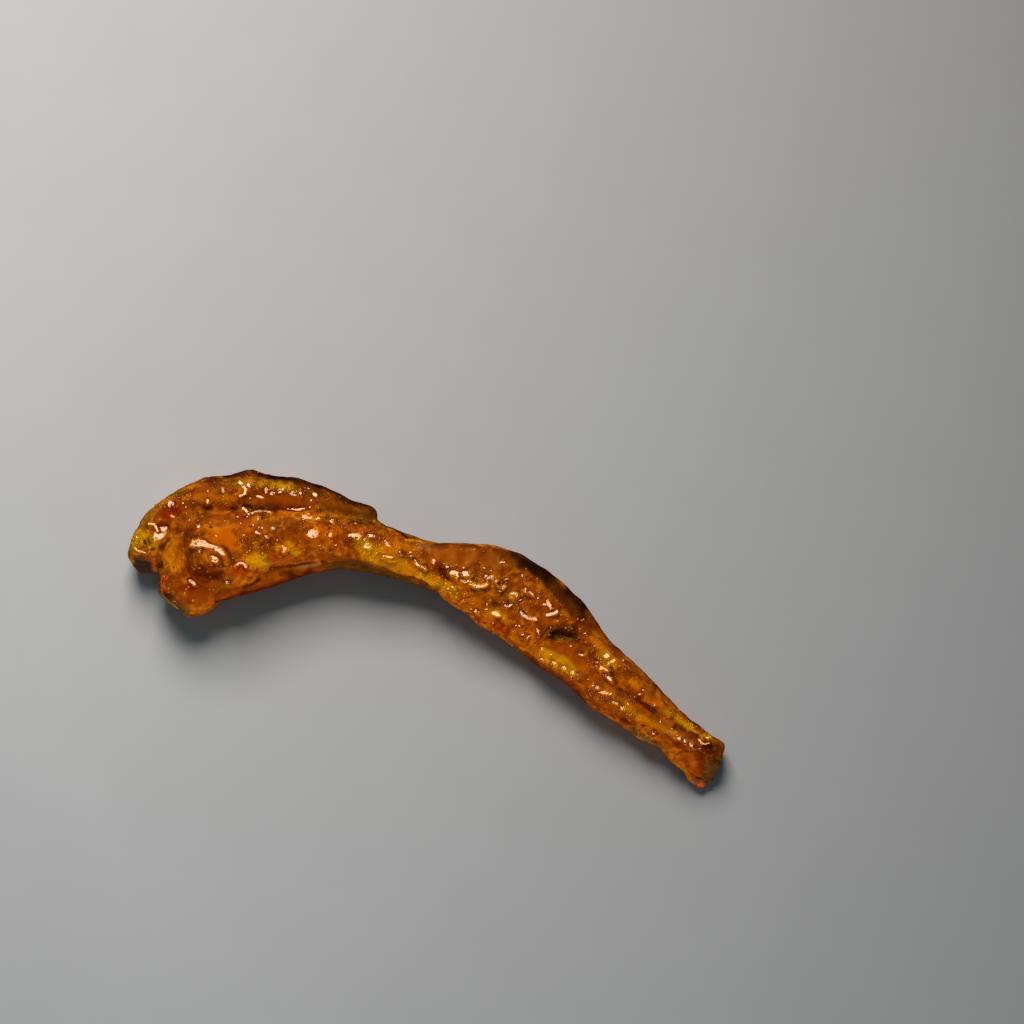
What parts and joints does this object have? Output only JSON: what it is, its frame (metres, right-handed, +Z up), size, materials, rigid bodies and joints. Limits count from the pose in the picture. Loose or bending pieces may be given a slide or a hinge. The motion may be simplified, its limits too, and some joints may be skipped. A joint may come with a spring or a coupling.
{
  "type": "marinated lamb rib",
  "caption": "Raw marinated lamb rib: bowed rib bone in a loin eye with a fat flap and a long blade of meat, chopped ends, wet spiced marinade, lying flat.",
  "frame": {"origin": "centre of the bounding box's footprint, on the surface that the rib lies on", "axes": "+Z up, +X from the loin end towards the chopped tip, +Y towards the outer side of the bow"},
  "size_m": [0.2123, 0.1139, 0.0307],
  "materials": {
    "marinated_meat": "wet, oily orange-brown spice marinade over meat and yellow fat",
    "rib_bone": "bone stained by the marinade, with a thin wet film"
  },
  "bodies": {
    "root": {"meat": "marinated_meat", "bone": "rib_bone"}
  },
  "joints": []
}
